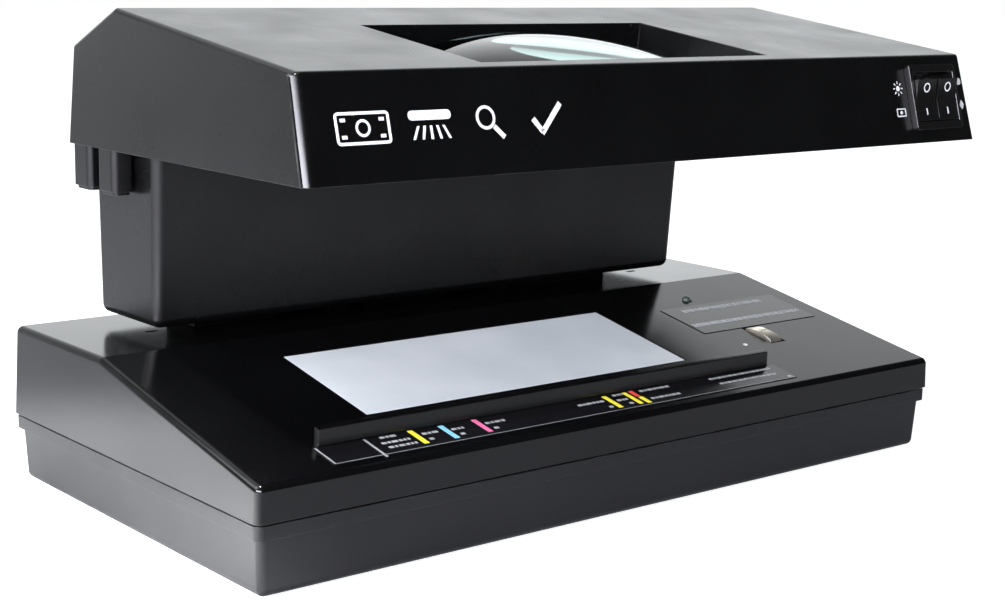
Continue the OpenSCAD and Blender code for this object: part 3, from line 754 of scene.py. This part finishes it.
def make_lamp(node, glass_material):
    """Mini fluorescent tube: glass with rolled ends, two metal caps and their pins."""
    low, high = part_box(node)
    centre = box_centre(node)
    half = (high[0] - low[0]) / 2 / MM - PIN_LENGTH
    along = Matrix.Translation(centre) @ Matrix.Rotation(math.pi / 2, 4, "Y")
    end = half - CAP_LENGTH
    neck = TUBE_RADIUS - 0.4
    half_tube = [(TUBE_RADIUS, end - 1.5), (neck, end), (neck, end + 1), (0, end + 1)]
    tube = lathe([(r, -z) for r, z in half_tube[::-1]] + half_tube, along)
    piece(node + "_glass", smooth_mesh(node + "_glass", tube), glass_material, node)
    caps = bmesh.new()
    for side in (-1, 1):
        turned = along @ Matrix.Diagonal((1, 1, side, 1))
        cap = [
            (0, end + 1.2), (TUBE_RADIUS - 0.1, end + 1.2), (TUBE_RADIUS, end), (CAP_RADIUS, end + 0.4),
            (CAP_RADIUS, end + 2), (CAP_RADIUS - 0.25, end + 2.3), (CAP_RADIUS, end + 2.6),
            (CAP_RADIUS, half - 0.5), (CAP_RADIUS - 0.5, half), (0, half)]
        lathe(cap, turned, 48, caps)
        tip = half + PIN_LENGTH
        for across in (-PIN_OFFSET, PIN_OFFSET):
            pin = turned @ Matrix.Translation((0, across * MM, 0))
            outline = [
                (0, half - 0.5), (PIN_RADIUS, half - 0.5), (PIN_RADIUS, tip - 0.5),
                (PIN_RADIUS - 0.4, tip), (0, tip)]
            lathe(outline, pin, 20, caps)
    piece(node + "_caps", smooth_mesh(node + "_caps", caps), "cap", node, replaces=False)


def make_feet():
    """Four round pads with ridges on their undersides."""
    low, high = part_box("rubber_feet")
    radius = FOOT_RADIUS
    height = (high[2] - low[2]) / MM
    profile = [(0, 0.35), (1.6, 0.35), (1.9, 0)]
    for start in (2.6, 4.0):
        profile += [(start, 0), (start + 0.2, 0.35), (start + 0.7, 0.35), (start + 0.9, 0)]
    profile += [(radius - 0.8, 0), (radius - 0.3, 0.2), (radius, 0.8), (radius, height), (0, height)]
    bm = bmesh.new()
    for x in (low[0] + radius * MM, high[0] - radius * MM):
        for y in (low[1] + radius * MM, high[1] - radius * MM):
            lathe(profile, Matrix.Translation((x, y, low[2])), 48, bm)
    piece("rubber_feet_ridged", smooth_mesh("rubber_feet_ridged", bm), "rubber", "rubber_feet")


def make_indicator():
    """Domed lens of the indicator with its flange below the deck and two legs."""
    low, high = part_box("indicator_led")
    centre = box_centre("indicator_led")
    seat = on_deck("base_cover", (centre.x - column_x) / MM + 3, (centre.y - base_front) / MM)
    seat.translation.x = centre.x
    dome = [(1.5 * math.cos(a), 1.5 * math.sin(a)) for a in [math.pi / 2 * i / 8 for i in range(8)]]
    bm = lathe([(0, -4.6), (1.9, -4.6), (1.9, -3.6), (1.5, -3.6)] + dome + [(0, 1.5)], seat, 40)
    foot = seat.translation.z - 4.5 * math.cos(seat.to_3x3().col[2].angle((0, 0, 1))) * MM
    for side in (-1, 1):
        leg = Matrix.Translation((centre.x + side * MM, centre.y, low[2]))
        lathe([(0, 0), (0.3, 0), (0.3, (foot - low[2]) / MM), (0, (foot - low[2]) / MM)], leg, 16, bm)
    piece("indicator_led_domed", smooth_mesh("indicator_led_domed", bm), "led", "indicator_led")


# ---------------------------------------------------------------- printed and inlaid marks

# Ticks on the label in front of the rail: x, y, width, height and ink
GAUGE_TICKS = [
    (-89.2, 8.5, 0.7, 11.2, "grey_ink"), (-73.9, 10.1, 1.7, 8.4, "yellow_ink"),
    (-63.7, 9.8, 1.7, 8.4, "blue_ink"), (-52.0, 9.8, 1.7, 8.4, "pink_ink"),
    (-2.8, 9.6, 1.7, 8.4, "yellow_ink"), (5.4, 9.6, 1.6, 8.4, "yellow_ink"),
    (8.5, 7.4, 1.6, 4.6, "yellow_ink"), (8.2, 12.0, 1.6, 4.0, "red_ink")]
# Rows of dashes on the two labels: start, end and y
GAUGE_DASHES = [
    (-84.5, -79.2, 13.2), (-86.0, -76.7, 10.1), (-85.5, -76.2, 7.4),
    (-71.7, -66.0, 11.2), (-71.6, -70.2, 7.9), (-61.9, -57.8, 10.7), (-61.2, -59.8, 7.5),
    (-50.0, -42.9, 10.7), (-49.5, -48.0, 7.3), (-15.1, -4.8, 11.0), (-6.2, -4.9, 7.0),
    (0.4, 4.2, 13.1), (-0.6, 3.4, 9.8), (1.9, 3.3, 7.0), (11.2, 24.1, 12.8), (11.0, 23.0, 7.4),
    (40.7, 68.1, 12.3), (41.6, 66.8, 8.5)]
INFO_DASHES = [(77.0, 115.5, 61.0), (70.8, 123.0, 49.5)]
DASH_WIDTHS = [1.5, 0.8, 1.9, 1.1, 0.7, 1.6]
DASH_GAP = 0.5
SHORTEST_DASH = 0.3
GAUGE_DASH_HEIGHT = 1.1
INFO_DASH_HEIGHT = 2.2
GAUGE_AT = (-20, 9)
INFO_AT = (97, 54)
DECK_DOT_AT = (76.6, 31)
DECK_DOT_RADIUS = 0.8

# The signs' centres on the head's front, and the rockers' marks above and below the switch's middle
FRONT_SIGNS_AT = (-64.5, 14)
LEFT_SIGNS_AT = (118.9, 14)
RIGHT_SIGNS_AT = (151.1, 15.5)
SIGN_OFFSET = 4.0
CIRCLE_ABOVE = 4.2
BAR_BELOW = 3.6
ROCKER_MARK_SINK = 0.3


class DeckMarks(Marks):
    """Marks on a flat part of the deck, with places measured like on_deck's, through at()."""

    def __init__(self, node, x, y):
        super().__init__(on_deck(node, x, y))
        self.near = (x, y)
        self.stretch = 1 / self.matrix.to_3x3().col[2].z

    def at(self, x, y):
        return x - self.near[0], (y - self.near[1]) * self.stretch

    def tick(self, x, y, w, h):
        self.bar(*self.at(x, y), w, h)

    def dashes(self, start, end, y, height):
        """A row of short dashes of uneven widths."""
        x = start
        turn = 0
        while x < end - SHORTEST_DASH:
            w = min(DASH_WIDTHS[turn % len(DASH_WIDTHS)], end - x)
            self.bar(*self.at(x + w / 2, y), w, height)
            x += w + DASH_GAP
            turn += 1

    def line(self, x0, y0, x1, y1, width):
        self.stroke(*self.at(x0, y0), *self.at(x1, y1), width)


def make_gauge_marks():
    """Coloured position ticks, scale dashes and the label's light edge, in front of the rail."""
    sheets = {}
    for x, y, w, h, color in GAUGE_TICKS:
        sheets.setdefault(color, DeckMarks("gauge_label", *GAUGE_AT)).tick(x, y, w, h)
    scale = DeckMarks("gauge_label", *GAUGE_AT)
    for start, end, y in GAUGE_DASHES:
        scale.dashes(start, end, y, GAUGE_DASH_HEIGHT)
    edge = sheets["grey_ink"]
    (left, front, _), (right, rear, _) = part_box("gauge_label")
    left, right = (left - column_x) / MM + 0.25, (right - column_x) / MM - 0.25
    front, rear = (front - base_front) / MM + 0.3, (rear - base_front) / MM - 0.3
    edge.line(left, front, left, rear, 0.45)
    edge.line(left + 0.3, front, right, front, 0.18)
    scale.bar(*scale.at(right - 1.6, front + 0.9), 1.8, 1.4)
    scale.finish("gauge_scale", "scale_ink", "gauge_label")
    for color, marks in sheets.items():
        marks.finish("gauge_" + color, color, "gauge_label")


def make_info_marks():
    """Faint rows of dashes on the label behind the magnetic head, and a dot in front of it."""
    rows = DeckMarks("info_label", *INFO_AT)
    for start, end, y in INFO_DASHES:
        rows.dashes(start, end, y, INFO_DASH_HEIGHT)
    rows.finish("info_rows", "faint_ink", "info_label")
    dot = DeckMarks("base_cover", *DECK_DOT_AT)
    dot.rise = 0.12
    dot.fill(dot.circle(0, 0, DECK_DOT_RADIUS))
    dot.finish("deck_dot", "white_ink", "base_cover")


def make_front_marks():
    """A row of pictograms on the head's front: a note, a lamp with rays, a magnifier and a tick."""
    sign = Marks(on_front("head_cover", *FRONT_SIGNS_AT))
    sign.frame(-30.5, 0, 17, 8.6, 1.2, 0.8)
    sign.hoop(-30.5, 0, 2.3, 0.7)
    for x, y in ((-36.5, 2.2), (-36.5, -2.2), (-24.5, 2.2), (-24.5, -2.2)):
        sign.bar(x, y, 1.6, 0.9)
    sign.fill(sign.rounded(-9, 2.6, 14, 2.6, 1.2))
    for i in range(5):
        sign.bar(-14 + 2.5 * i, -2.0, 0.8, 3.6, (i - 2) * -0.9)
    sign.hoop(9.6, 1.2, 3.3, 0.85)
    sign.stroke(12.1, -1.3, 15.2, -4.4, 1.4)
    sign.stroke(26.0, 0.2, 29.0, -3.6, 1.6)
    sign.stroke(28.6, -3.9, 36.5, 4.2, 1.6)
    sign.finish("front_pictograms", "white_ink", "head_cover")


def make_panel_marks():
    """Signs beside the rockers: rays and a note at the left, a filled dot and a diamond at the right."""
    left = Marks(on_front("head_cover", *LEFT_SIGNS_AT))
    left.fill(left.circle(0, SIGN_OFFSET, 0.9))
    for i in range(8):
        a = math.pi / 4 * i
        left.stroke(*left.polar(0, SIGN_OFFSET, 1.5, a), *left.polar(0, SIGN_OFFSET, 2.4, a), 0.4)
    left.frame(0, -SIGN_OFFSET, 4.6, 2.8, 0.4, 0.4)
    left.fill(left.circle(0, -SIGN_OFFSET, 0.6))
    left.finish("lamp_pictograms", "white_ink", "head_cover")
    right = Marks(on_front("head_cover", *RIGHT_SIGNS_AT))
    right.fill(right.circle(0.1, SIGN_OFFSET, 1.25))
    right.fill([(0.1, -5.7), (1.3, -SIGN_OFFSET), (0.1, -2.3), (-1.1, -SIGN_OFFSET)])
    right.finish("window_pictograms", "white_ink", "head_cover")


def make_rocker_marks():
    """Circle and bar for off and on, on the two halves of each rocker."""
    middle = (box_centre("switch_housing").z - head_low) / MM
    for node in ("uv_rocker", "watermark_rocker"):
        x = (box_centre(node).x - column_x) / MM
        circle = Marks(on_front(node, x, middle + CIRCLE_ABOVE))
        circle.sink = ROCKER_MARK_SINK
        circle.hoop(0, 0, 1.6, 0.45)
        circle.finish(node + "_circle", "white_ink", node)
        bar = Marks(on_front(node, x, middle - BAR_BELOW))
        bar.sink = ROCKER_MARK_SINK
        bar.bar(0, 0, 0.55, 2.2)
        bar.finish(node + "_bar", "white_ink", node)


add_camera()
add_world()
add_lights()
add_stage(materials["floor"])
bpy.context.scene.view_settings.view_transform = "Standard"

# Nodes that have a function or a call of their own below
own_shape = {
    "magnifier_lens", "uv_tube", "window_tube", "rubber_feet", "indicator_led",
    "cord_pegs", "magnetic_head", "magnet_spring", "head_cover"}
thin_films = {"gauge_label", "info_label"}
refine("cord_pegs", 1.8, 5.0, 5)
make_sensor()
make_spring()
make_head_cover()
for node_name in nodes:
    if node_name not in own_shape:
        refine(node_name, FILM_RADIUS if node_name in thin_films else FINE_RADIUS)
make_lens()
make_lamp("uv_tube", "violet")
make_lamp("window_tube", "phosphor")
make_feet()
make_indicator()
make_gauge_marks()
make_info_marks()
make_front_marks()
make_panel_marks()
make_rocker_marks()
